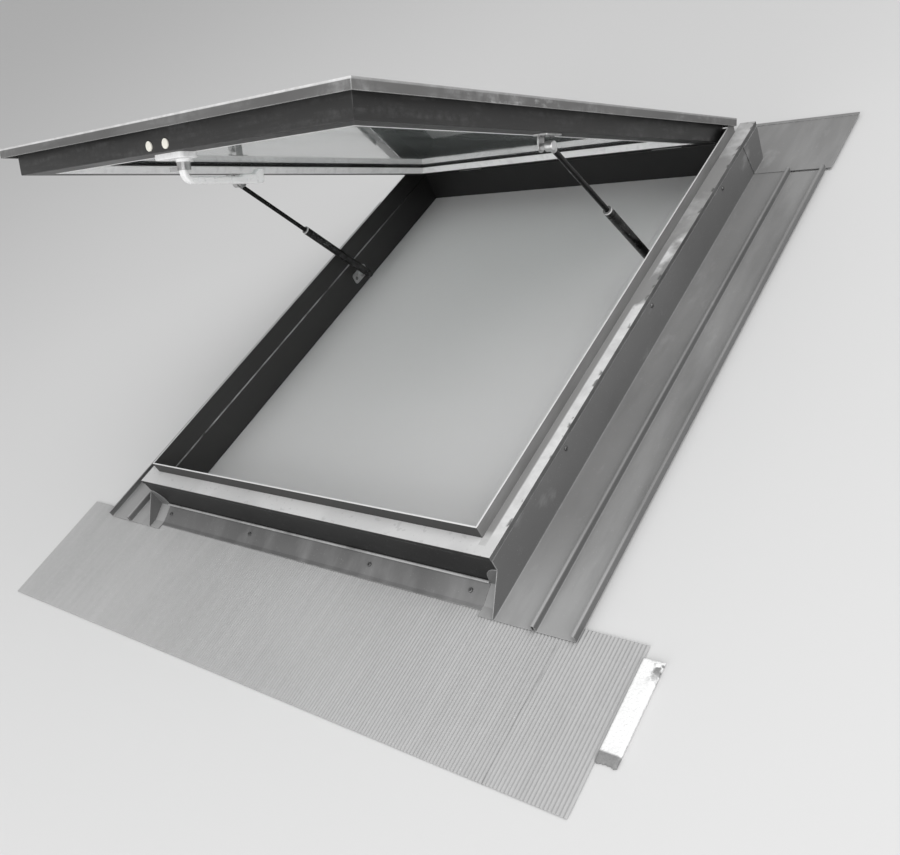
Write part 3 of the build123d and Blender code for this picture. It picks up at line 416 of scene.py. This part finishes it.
def flashing_finish():
    """Coated sheet, dusty where it lies flat, with faint run marks down the slope."""
    coat = Finish("flashing_coat", grey(0.115), rough=0.5)
    broad = coat.noise(scale=4, low=0.34, high=0.66, detail=5)
    fine = coat.noise(scale=85, low=0.38, high=0.7, detail=6, rough=0.65)
    smudges = coat.noise(scale=26, low=0.6, high=0.74, stretch=(1, 0.5, 1), detail=6, rough=0.62, shift=2.0)
    coat.paint(broad, grey(0.16), share=0.6)
    coat.paint(coat.product(coat.up(), coat.ranged(broad, 0, 1, 0.75, 1.0)), grey(0.225, warmth=0.005))
    coat.paint(coat.product(coat.up(), coat.less(coat.y, CURB_LOW.y + 0.07, 0.07)), grey(0.31))
    coat.paint(smudges, grey(0.42), share=0.3)
    front_strip_layers(coat, broad)
    runs = coat.noise(scale=9, low=0.46, high=0.7, stretch=(2, 0.4, 2), detail=5, rough=0.55)
    dark_runs = coat.noise(scale=10, low=0.5, high=0.68, stretch=(2, 0.5, 2), rough=0.6, shift=9.0)
    coat.paint(coat.product(runs, coat.up(0.1, 0.9)), grey(0.45), share=0.22)
    coat.paint(dark_runs, grey(0.12), share=0.25)
    coat.paint(coat.specks(240, 0.17), grey(0.5), share=0.4)
    coat.paint(coat.product(coat.edges(0.0014), coat.ranged(fine, 0, 1, 0.3, 0.9)), grey(0.45))
    coat.dull(coat.up(), 0.66)
    coat.relief(coat.noise(scale=5, detail=3, shift=1.0), 0.004, strength=0.3)
    coat.relief(fine, 0.0002, strength=0.3)
    return coat.done(specular=0.45)


def front_strip_layers(coat, broad):
    """The front strip is darker, paler to the right and rubbed at its upper edge."""
    across = coat.maths("ABSOLUTE", coat.x)
    between = coat.less(across, STRIP_HIGH.x + 0.0005)
    strip = coat.product(between, coat.less(coat.y, STRIP_HIGH.y + 0.001))
    rubbed = coat.noise(scale=25, low=0.25, high=0.5)
    coat.paint(strip, grey(0.105))
    coat.paint(coat.product(strip, broad), grey(0.16), share=0.6)
    coat.paint(coat.product(strip, coat.more(coat.x, 0.3, 0.05)), grey(0.24), share=0.6)
    coat.paint(coat.product(strip, coat.more(coat.z, STRIP_HIGH.z - 0.0032), rubbed), grey(0.38))


def apron_finish():
    """Pleated sheet, paler than the flashings, with the lap line near its right end."""
    coat = Finish("apron_coat", grey(0.36), rough=0.55)
    broad = coat.noise(scale=3.5, low=0.34, high=0.66, detail=5)
    fine = coat.noise(scale=110, low=0.36, high=0.7, detail=6, rough=0.7)
    runs = coat.noise(scale=20, low=0.45, high=0.7, stretch=(4, 0.25, 3), detail=5, rough=0.6)
    dark_runs = coat.noise(scale=14, low=0.5, high=0.7, stretch=(3, 0.3, 3), rough=0.6, shift=9.0)
    coat.paint(broad, grey(0.43), share=0.55)
    coat.paint(runs, grey(0.5), share=0.2)
    coat.paint(dark_runs, grey(0.29), share=0.22)
    lap = APRON_HIGH.x - 0.114
    wander = coat.maths("MULTIPLY", coat.noise(scale=9, low=0.2, high=0.8, detail=2), 0.005)
    from_lap = coat.maths("SUBTRACT", coat.maths("SUBTRACT", coat.x, wander), lap)
    line = coat.less(coat.maths("ABSOLUTE", from_lap), 0.0012, 0.001)
    faded = coat.noise(scale=40, low=0.2, high=0.6)
    coat.paint(coat.more(coat.x, lap + 0.0025, 0.002), grey(0.5), share=0.12)
    lap_line = coat.product(line, coat.less(coat.y, APRON_HIGH.y - 0.0315, 0.006), faded)
    coat.paint(lap_line, grey(0.15), share=0.6)
    coat.paint(coat.specks(200, 0.16), grey(0.65), share=0.6)
    coat.paint(fine, grey(0.5), share=0.2)
    coat.relief(fine, 0.0002, strength=0.3)
    coat.relief(coat.noise(scale=7, detail=3, shift=2.0), 0.004, strength=0.35)
    return coat.done(specular=0.45)


def bead_finish():
    """White glazing beads, dulled by dust."""
    coat = Finish("bead_coat", grey(0.9), rough=0.35, swung=True)
    dust = coat.noise(scale=14, low=0.42, high=0.7, stretch=(1, 1, 3), detail=5, rough=0.6)
    coat.paint(dust, grey(0.68), share=0.4)
    coat.paint(coat.noise(scale=90, low=0.5, high=0.72, detail=5), grey(0.5), share=0.3)
    coat.dull(coat.noise(scale=20, low=0.35, high=0.7), 0.5)
    coat.relief(coat.noise(scale=700, detail=2), 0.00006)
    return coat.done()


def metal_finish(name, base, rough, stretch=(1, 1, 1), scale=300, depth=0.00006):
    """Bare or plated metal with fine lines and a dulled patchy sheen."""
    metal = Finish(name, base, rough)
    lines = metal.noise(scale=scale, low=0.3, high=0.7, stretch=stretch, detail=3)
    stain = metal.noise(scale=45, low=0.42, high=0.7, detail=5, rough=0.6)
    metal.paint(stain, shaded(base, 0.55), share=0.7)
    metal.paint(metal.noise(scale=140, low=0.55, high=0.7), shaded(base, 0.35), share=0.6)
    metal.dull(metal.product(lines, 0.6), rough + 0.16)
    metal.dull(stain, rough + 0.22)
    metal.relief(lines, depth, strength=0.6)
    return metal.done(metal=1.0)


def moulded_finish(name, base, rough, grain=700, depth=0.00004, shade=0.8, swung=False):
    """Moulded plastic, rubber or paint with a fine grain and slight soiling."""
    skin = Finish(name, base, rough, swung)
    skin.paint(skin.noise(scale=28, low=0.38, high=0.7, detail=5), shaded(base, shade), share=0.8)
    skin.paint(skin.noise(scale=160, low=0.56, high=0.7), shaded(base, shade * 0.8), share=0.5)
    skin.dull(skin.noise(scale=35, low=0.4, high=0.7), rough + 0.14)
    skin.relief(skin.noise(scale=grain, detail=2), depth)
    return skin.done()


def tube_finish():
    """Black painted tube with a bare rolled end."""
    coat = Finish("tube_paint", grey(0.003), rough=0.22)
    up_roof = coat.maths("MULTIPLY", coat.maths("SUBTRACT", coat.y, STRUT_PIVOT.y), STRUT_LINE.y)
    out = coat.maths("MULTIPLY", coat.maths("SUBTRACT", coat.z, STRUT_PIVOT.z), STRUT_LINE.z)
    along = coat.maths("ADD", up_roof, out)
    rolled_end = coat.product(coat.more(along, ROLLED_FROM, 0.0004), coat.less(along, ROLLED_TO, 0.0004))
    coat.paint(coat.noise(scale=60, low=0.5, high=0.7, detail=5), grey(0.04), share=0.5)
    coat.paint(coat.specks(420, 0.2), grey(0.25), share=0.7)
    coat.paint(rolled_end, grey(0.5))
    coat.dull(coat.noise(scale=40, low=0.4, high=0.65), 0.36)
    return coat.done()


def glass_finish():
    """Clear glass with wiped dust on it."""
    clear = Finish("glass", (0.9, 0.94, 0.93), rough=0.02, swung=True)
    clear.dull(clear.noise(scale=12, low=0.45, high=0.8, stretch=(1, 0.4, 1), detail=5), 0.12)
    clear.shader.inputs["IOR"].default_value = 1.5
    clear.shader.inputs["Transmission Weight"].default_value = 1.0
    return clear.done()


def foam_finish():
    """White foam, darker grey at its torn front end, and soiled at its far corner."""
    foam = Finish("foam_white", grey(0.87), rough=0.85)
    foam.paint(foam.noise(scale=40, low=0.5, high=0.7, detail=5), grey(0.74), share=0.35)
    front_end = foam.less(foam.y, FOAM_LOW.y + 0.0165, 0.0012)
    foam.paint(foam.product(front_end, foam.noise(scale=60, low=0.0, high=0.45)), grey(0.24))
    rear_end = foam.more(foam.y, FOAM_HIGH.y - 0.025, 0.01)
    corner = foam.product(rear_end, foam.more(foam.x, FOAM_HIGH.x - 0.012, 0.004))
    soil = foam.noise(scale=110, low=0.46, high=0.56, detail=3)
    foam.paint(foam.product(corner, soil), grey(0.12), share=0.85)
    foam.relief(foam.noise(scale=420, low=0.3, high=0.7, detail=2), 0.0008, strength=0.7)
    return foam.done(specular=0.25)


curb_coat = curb_finish()
rail_coat = rail_finish()
cover_coat = cover_finish()
flashing_coat = flashing_finish()
apron_coat = apron_finish()
bead_coat = bead_finish()
glass = glass_finish()
tube_paint = tube_finish()
mill_metal = metal_finish("mill_metal", grey(0.6), rough=0.32, stretch=(1, 8, 8))
hinge_metal = metal_finish("hinge_metal", grey(0.4), rough=0.36, stretch=(1, 8, 8))
bracket_metal = metal_finish("bracket_metal", grey(0.6), rough=0.28)
lock_metal = metal_finish("lock_metal", grey(0.62), rough=0.28, stretch=(1, 10, 1))
screw_metal = metal_finish("screw_metal", grey(0.2), rough=0.36)
rod_metal = metal_finish("rod_metal", grey(0.035), rough=0.14, stretch=(8, 8, 1), scale=400, depth=0.00002)
fitting_plastic = moulded_finish("fitting_plastic", grey(0.012), rough=0.4)
rubber = moulded_finish("rubber", grey(0.012), rough=0.55, grain=500, depth=0.00008)
white_paint = moulded_finish(
    "white_paint", grey(0.9), rough=0.22, grain=400, depth=0.00002, shade=0.88, swung=True
)
cap_plastic = moulded_finish(
    "cap_plastic", (0.86, 0.84, 0.76), rough=0.35, grain=500, depth=0.00002, shade=0.86, swung=True
)
foam_white = foam_finish()

finishes = {
    curb_coat: [f"curb_{side}" for side in SIDES],
    rail_coat: [f"sash_rail_{side}" for side in SIDES],
    cover_coat: [f"cover_frame_{side}" for side in SIDES],
    bead_coat: [f"glazing_bead_{side}" for side in SIDES],
    flashing_coat: ["front_flashing", "head_flashing", "side_flashing_right", "side_flashing_left"],
    apron_coat: ["apron"],
    mill_metal: ["curb_corner_cleats", "sash_corner_cleats", "glass_spacer"],
    hinge_metal: [f"hinge_{part}_{hand}" for part in ("curb_leaf", "sash_leaf", "pin") for hand in HANDS],
    bracket_metal: [
        f"strut_{part}_{hand}"
        for part in ("lower_bracket", "upper_bracket", "upper_socket")
        for hand in HANDS
    ],
    fitting_plastic: [f"strut_lower_socket_{hand}" for hand in HANDS],
    tube_paint: [f"strut_tube_{hand}" for hand in HANDS],
    rod_metal: [f"strut_rod_{hand}" for hand in HANDS],
    lock_metal: ["lock_tongue", "lock_keeper"],
    screw_metal: ["flashing_screws", "curb_fitting_screws", "sash_fitting_screws"],
    rubber: ["glazing_gasket", "glazing_tape", "weather_seal"],
    white_paint: ["handle_base", "handle_lever"],
    cap_plastic: ["handle_caps"],
    foam_white: ["foam_strip"],
    glass: ["glass_inner_pane", "glass_outer_pane"],
}
for finish, names in finishes.items():
    for name in names:
        slots = nodes[name].material_slots
        if not slots:
            nodes[name].data.materials.append(finish)
        for slot in slots:
            slot.material = finish


# Small rounded edges on profiles, sheets and fittings, so that seams and folds catch the light
SAME_PLACE = 1e-6
PROFILE_EDGE = 0.0004
RAIL_EDGE = 0.0005
SHEET_EDGE = 0.0002
PLEAT_EDGE = 0.00015
FITTING_EDGE = 0.0003
GASKET_EDGE = 0.0008
SEAL_EDGE = 0.001


def round_edges(piece, width, segments, angle):
    edge = piece.modifiers.new("edge", "BEVEL")
    edge.width = width
    edge.segments = segments
    edge.limit_method = "ANGLE"
    edge.angle_limit = math.radians(angle)
    return edge


def soften(name, width, segments=2):
    """Round a CAD node's edges, once a modifier has joined its loose triangles."""
    weld = nodes[name].modifiers.new("weld", "WELD")
    weld.merge_threshold = SAME_PLACE
    edge = round_edges(nodes[name], width, segments, angle=35)
    edge.harden_normals = True


for side in SIDES:
    soften(f"curb_{side}", PROFILE_EDGE)
    soften(f"sash_rail_{side}", RAIL_EDGE)
    soften(f"cover_frame_{side}", PROFILE_EDGE)
    soften(f"glazing_bead_{side}", PROFILE_EDGE)
for hand in HANDS:
    soften(f"side_flashing_{hand}", SHEET_EDGE)
    for part in ("strut_lower_bracket", "strut_upper_bracket", "hinge_curb_leaf", "hinge_sash_leaf"):
        soften(f"{part}_{hand}", FITTING_EDGE)
soften("front_flashing", SHEET_EDGE)
soften("head_flashing", SHEET_EDGE)
soften("apron", PLEAT_EDGE)
soften("lock_keeper", FITTING_EDGE)
soften("glazing_gasket", GASKET_EDGE, segments=3)
soften("glazing_tape", RAIL_EDGE)
soften("weather_seal", SEAL_EDGE, segments=3)


# New pieces start from a primitive and are shaped in edit mode
UP = Vector((0, 0, 1))
X_AXIS = 0
Y_AXIS = 1
SAME_FACE = 0.00005


def start_shaping(name):
    """Settle the new primitive at the origin, name it and open it for shaping."""
    piece = bpy.context.object
    piece.name = name
    piece.data.name = name
    bpy.ops.object.transform_apply(location=True, rotation=True, scale=True)
    bpy.ops.object.mode_set(mode="EDIT")
    return piece


def pick_faces(piece, facing, near=None):
    """Select only the faces that face one way, or the one of them at a place."""
    bpy.ops.mesh.select_mode(type="FACE")
    bpy.ops.mesh.select_all(action="DESELECT")
    shape = bmesh.from_edit_mesh(piece.data)
    for face in shape.faces:
        there = near is None or (face.calc_center_median() - near).length < SAME_FACE
        face.select_set(there and face.normal.dot(facing) > 0.9)
    bmesh.update_edit_mesh(piece.data)


def pick_edges(piece, axis):
    """Select only the edges that run along one axis."""
    bpy.ops.mesh.select_mode(type="EDGE")
    bpy.ops.mesh.select_all(action="DESELECT")
    shape = bmesh.from_edit_mesh(piece.data)
    for edge in shape.edges:
        run = edge.verts[1].co - edge.verts[0].co
        edge.select_set(abs(run[axis]) > 0.99 * run.length)
    bmesh.update_edit_mesh(piece.data)


# The foam strip at the apron's right end, cut by hand and torn at its front end
FOAM_ROWS = 72
FOAM_COLUMNS = 15
FOAM_SIDE_GAP = 0.0002
FOAM_END_GAP = 0.0003
TEAR_DEPTH = 0.007
FRAY_DEPTH = 0.0016
NICK_DEPTH = 0.0016
PIT_DEPTH = 0.0007
END_SHARE = 1 / 7
NICKED_SHARE = 0.4
THINNED_SHARE = 0.08


def disorder(place, octaves):
    """Smooth disorder, about 0 to 1."""
    return 0.5 + 0.5 * turbulence(place, octaves, False)


def foam_spot(place):
    """Where a point of the straight block goes on the cut and torn strip."""
    size = FOAM_HIGH - FOAM_LOW
    across = (place.x - FOAM_LOW.x) / size.x
    along = (place.y - FOAM_LOW.y) / size.y
    upper = place.z > size.z / 2
    grain = Vector((across * 9, along * 40, 3.0 + upper))
    nick = disorder(grain * 1.3, 3)
    tear = TEAR_DEPTH * disorder(Vector((across * 5.5, 0.4, 7.0)), 4) * max(0.0, 1 - along / END_SHARE)
    thread = abs(turbulence(Vector((across * 14, 1.4, 2.0)), 3, False))
    fray = FRAY_DEPTH * thread * max(0.0, 1 - (1 - along) / END_SHARE)
    nicked = NICK_DEPTH * nick * max(0.0, 1 - (1 - across) / NICKED_SHARE)
    x = FOAM_LOW.x + FOAM_SIDE_GAP + (size.x - 2 * FOAM_SIDE_GAP) * across - nicked
    y = FOAM_LOW.y + FOAM_END_GAP + (size.y - 2 * FOAM_END_GAP) * along + tear - fray
    z = 0.0
    if upper:
        on_rim = min(across, 1 - across, along, 1 - along) < 0.5 / FOAM_ROWS
        shoulder = 0.55 if on_rim else 1.0
        z = size.z * shoulder - PIT_DEPTH * disorder(grain * 3, 3)
        if along < THINNED_SHARE:
            z *= 0.45 + 0.55 * min(1.0, along / THINNED_SHARE + 0.35 * nick)
    return Vector((min(x, FOAM_HIGH.x), max(y, FOAM_LOW.y), max(0.0, min(z, size.z))))


def foam_piece():
    size = FOAM_HIGH - FOAM_LOW
    bpy.ops.object.select_all(action="DESELECT")
    bpy.ops.mesh.primitive_cube_add(size=1, location=FOAM_LOW + size / 2, scale=size)
    piece = start_shaping("foam_piece")
    pick_edges(piece, Y_AXIS)
    bpy.ops.mesh.subdivide(number_cuts=FOAM_ROWS - 1)
    pick_edges(piece, X_AXIS)
    bpy.ops.mesh.subdivide(number_cuts=FOAM_COLUMNS - 1)
    bpy.ops.object.mode_set(mode="OBJECT")
    for vert in piece.data.vertices:
        vert.co = foam_spot(vert.co)
    bpy.ops.object.shade_smooth()
    piece.data.materials.append(foam_white)
    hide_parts("foam_strip")
    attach(piece, "curb")


foam_piece()


# Pan head screws with a cross recess, each where a plain one of the node stands
HEAD_RADIUS = 0.0036
HEAD_HEIGHT = 0.0022
RIM_HEIGHT = 0.0006
CROWN_RINGS = ((0.0033, 0.0008), (0.0028, 0.00058), (0.0022, 0.00022))
SHANK_RADIUS = 0.0016
SHANK_LENGTH = 0.007
ARM = 0.0019
ARM_HALF = 0.00042
CROSS_DEPTH = 0.0013
CROSS_ABOVE = 0.0002
CROSS_TAPER = 0.55
SPIN_STEP = 0.7
SCREW_EDGE = 0.00012


def raise_ring(rise, ratio=1.0):
    """Extrude the selected face along the screw and scale it."""
    bpy.ops.mesh.extrude_region_move(TRANSFORM_OT_translate={"value": (0, 0, rise)})
    bpy.ops.transform.resize(value=(ratio, ratio, 1), center_override=(0, 0, 0))


def cross_cutter():
    """A tapered cross, which cuts the recess for the driver."""
    tall = CROSS_DEPTH + CROSS_ABOVE
    core = 2 * ARM_HALF
    middle = Vector((0, 0, HEAD_HEIGHT + CROSS_ABOVE - tall / 2))
    bpy.ops.object.select_all(action="DESELECT")
    bpy.ops.mesh.primitive_cube_add(size=1, location=middle, scale=(core, core, tall))
    cutter = start_shaping("cross_cutter")
    for quarter in range(4):
        outwards = Matrix.Rotation(math.pi / 2 * quarter, 3, "Z") @ Vector((1, 0, 0))
        pick_faces(cutter, outwards, near=middle + outwards * ARM_HALF)
        arm = outwards * (ARM - ARM_HALF)
        bpy.ops.mesh.extrude_region_move(TRANSFORM_OT_translate={"value": arm})
    pick_faces(cutter, -UP)
    bpy.ops.transform.resize(value=(CROSS_TAPER, CROSS_TAPER, 1), center_override=(0, 0, 0))
    bpy.ops.object.mode_set(mode="OBJECT")
    return cutter


def cross_screw():
    """One screw, upright, with its seat at the origin."""
    cutter = cross_cutter()
    bpy.ops.object.select_all(action="DESELECT")
    bpy.ops.mesh.primitive_cylinder_add(
        vertices=24, radius=HEAD_RADIUS, depth=RIM_HEIGHT, location=(0, 0, RIM_HEIGHT / 2)
    )
    screw = start_shaping("cross_screw")
    pick_faces(screw, UP)
    below = HEAD_RADIUS
    for radius, rise in CROWN_RINGS:
        raise_ring(rise, radius / below)
        below = radius
    pick_faces(screw, -UP)
    bpy.ops.mesh.inset(thickness=HEAD_RADIUS - SHANK_RADIUS)
    raise_ring(-SHANK_LENGTH)
    bpy.ops.object.mode_set(mode="OBJECT")
    recess = screw.modifiers.new("recess", "BOOLEAN")
    recess.operation = "DIFFERENCE"
    recess.solver = "EXACT"
    recess.object = cutter
    bpy.ops.object.modifier_apply(modifier="recess")
    bpy.data.objects.remove(cutter)
    return screw


def plain_screws(name):
    """The node's screws, each as a loose object of its own, from a merged copy."""
    spare = nodes[name].copy()
    spare.data = nodes[name].data.copy()
    scene.collection.objects.link(spare)
    bpy.ops.object.select_all(action="DESELECT")
    spare.select_set(True)
    bpy.context.view_layer.objects.active = spare
    bpy.ops.object.mode_set(mode="EDIT")
    bpy.ops.mesh.select_all(action="SELECT")
    bpy.ops.mesh.remove_doubles(threshold=SAME_PLACE)
    bpy.ops.mesh.separate(type="LOOSE")
    bpy.ops.object.mode_set(mode="OBJECT")
    return list(bpy.context.selected_objects)


def screw_place(plain):
    """The middle of a plain screw's seat, and the direction that its head faces."""
    spread = sum(face.area * np.outer(face.normal, face.normal) for face in plain.data.polygons)
    sizes, turns = np.linalg.eigh(spread)
    lone = 0 if sizes[1] - sizes[0] > sizes[2] - sizes[1] else 2
    axis = turns[:, lone]
    points = np.array([vert.co[:] for vert in plain.data.vertices])
    turned = points @ turns
    centre = turns @ (turned.max(0) + turned.min(0)) / 2
    reach = (points - centre) @ axis
    from_axis = np.linalg.norm(points - centre - np.outer(reach, axis), axis=1)
    if reach[from_axis > 1.5 * SHANK_RADIUS].mean() < 0:
        axis = -axis
        reach = -reach
    return Vector(centre + axis * (reach.max() - HEAD_HEIGHT)), Vector(axis)


def cross_screws(name, body):
    """A copy of the model screw at every place of a node, joined to one piece."""
    places = []
    for plain in plain_screws(name):
        places.append(screw_place(plain))
        bpy.data.objects.remove(plain)
    places.sort(key=lambda place: tuple(round(value, 4) for value in place[0]))
    bpy.ops.object.select_all(action="DESELECT")
    for index, (seat, axis) in enumerate(places):
        screw = model_screw.copy()
        screw.data = model_screw.data.copy()
        scene.collection.objects.link(screw)
        stand = axis.to_track_quat("Z", "Y").to_matrix().to_4x4()
        spin = Matrix.Rotation(index * SPIN_STEP, 4, "Z")
        screw.matrix_world = Matrix.Translation(seat) @ stand @ spin
        screw.select_set(True)
        bpy.context.view_layer.objects.active = screw
    bpy.ops.object.join()
    bpy.ops.object.transform_apply(location=True, rotation=True, scale=True)
    piece = bpy.context.object
    piece.name = f"cross_{name}"
    piece.data.name = piece.name
    piece.data.materials.append(screw_metal)
    round_edges(piece, SCREW_EDGE, segments=2, angle=40)
    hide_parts(name)
    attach(piece, body)


model_screw = cross_screw()
cross_screws("flashing_screws", "curb")
cross_screws("curb_fitting_screws", "curb")
cross_screws("sash_fitting_screws", "sash")
bpy.data.objects.remove(model_screw)


# Floor, lights and background
FLOOR_SIZE = 40
FLOOR_LEVEL = -0.0008
FLOOR_GREY = 0.64
WORLD_STRENGTH = 0.6


def pale_floor():
    bpy.ops.object.select_all(action="DESELECT")
    bpy.ops.mesh.primitive_plane_add(size=FLOOR_SIZE, location=(0, 0, FLOOR_LEVEL))
    bpy.ops.object.transform_apply(location=True, rotation=True, scale=True)
    floor = bpy.context.object
    floor.name = "floor"
    floor.data.materials.append(Finish("floor_paint", grey(FLOOR_GREY), rough=0.9).done())


def white_world():
    world = bpy.data.worlds.new("world")
    world.use_nodes = True
    background = world.node_tree.nodes["Background"]
    background.inputs["Color"].default_value = (1, 1, 1, 1)
    background.inputs["Strength"].default_value = WORLD_STRENGTH
    scene.world = world


def studio_lamp(name, place, target, size, watts):
    data = bpy.data.lights.new(name, "AREA")
    data.shape = "DISK"
    data.size = size
    data.energy = watts
    lamp = bpy.data.objects.new(name, data)
    scene.collection.objects.link(lamp)
    lamp.location = place
    lamp.rotation_euler = (Vector(target) - Vector(place)).to_track_quat("-Z", "Y").to_euler()


pale_floor()
white_world()
studio_lamp("key", place=(1.9, 0.3, 3.4), target=(0, -0.1, 0.1), size=3.6, watts=64)
studio_lamp("fill", place=(-0.4, -3.4, 1.5), target=(0, -0.3, 0.4), size=2.6, watts=46)
studio_lamp("side", place=(2.9, -1.6, 1.3), target=(0, -0.1, 0.3), size=2.2, watts=31)

scene.view_settings.view_transform = "Standard"
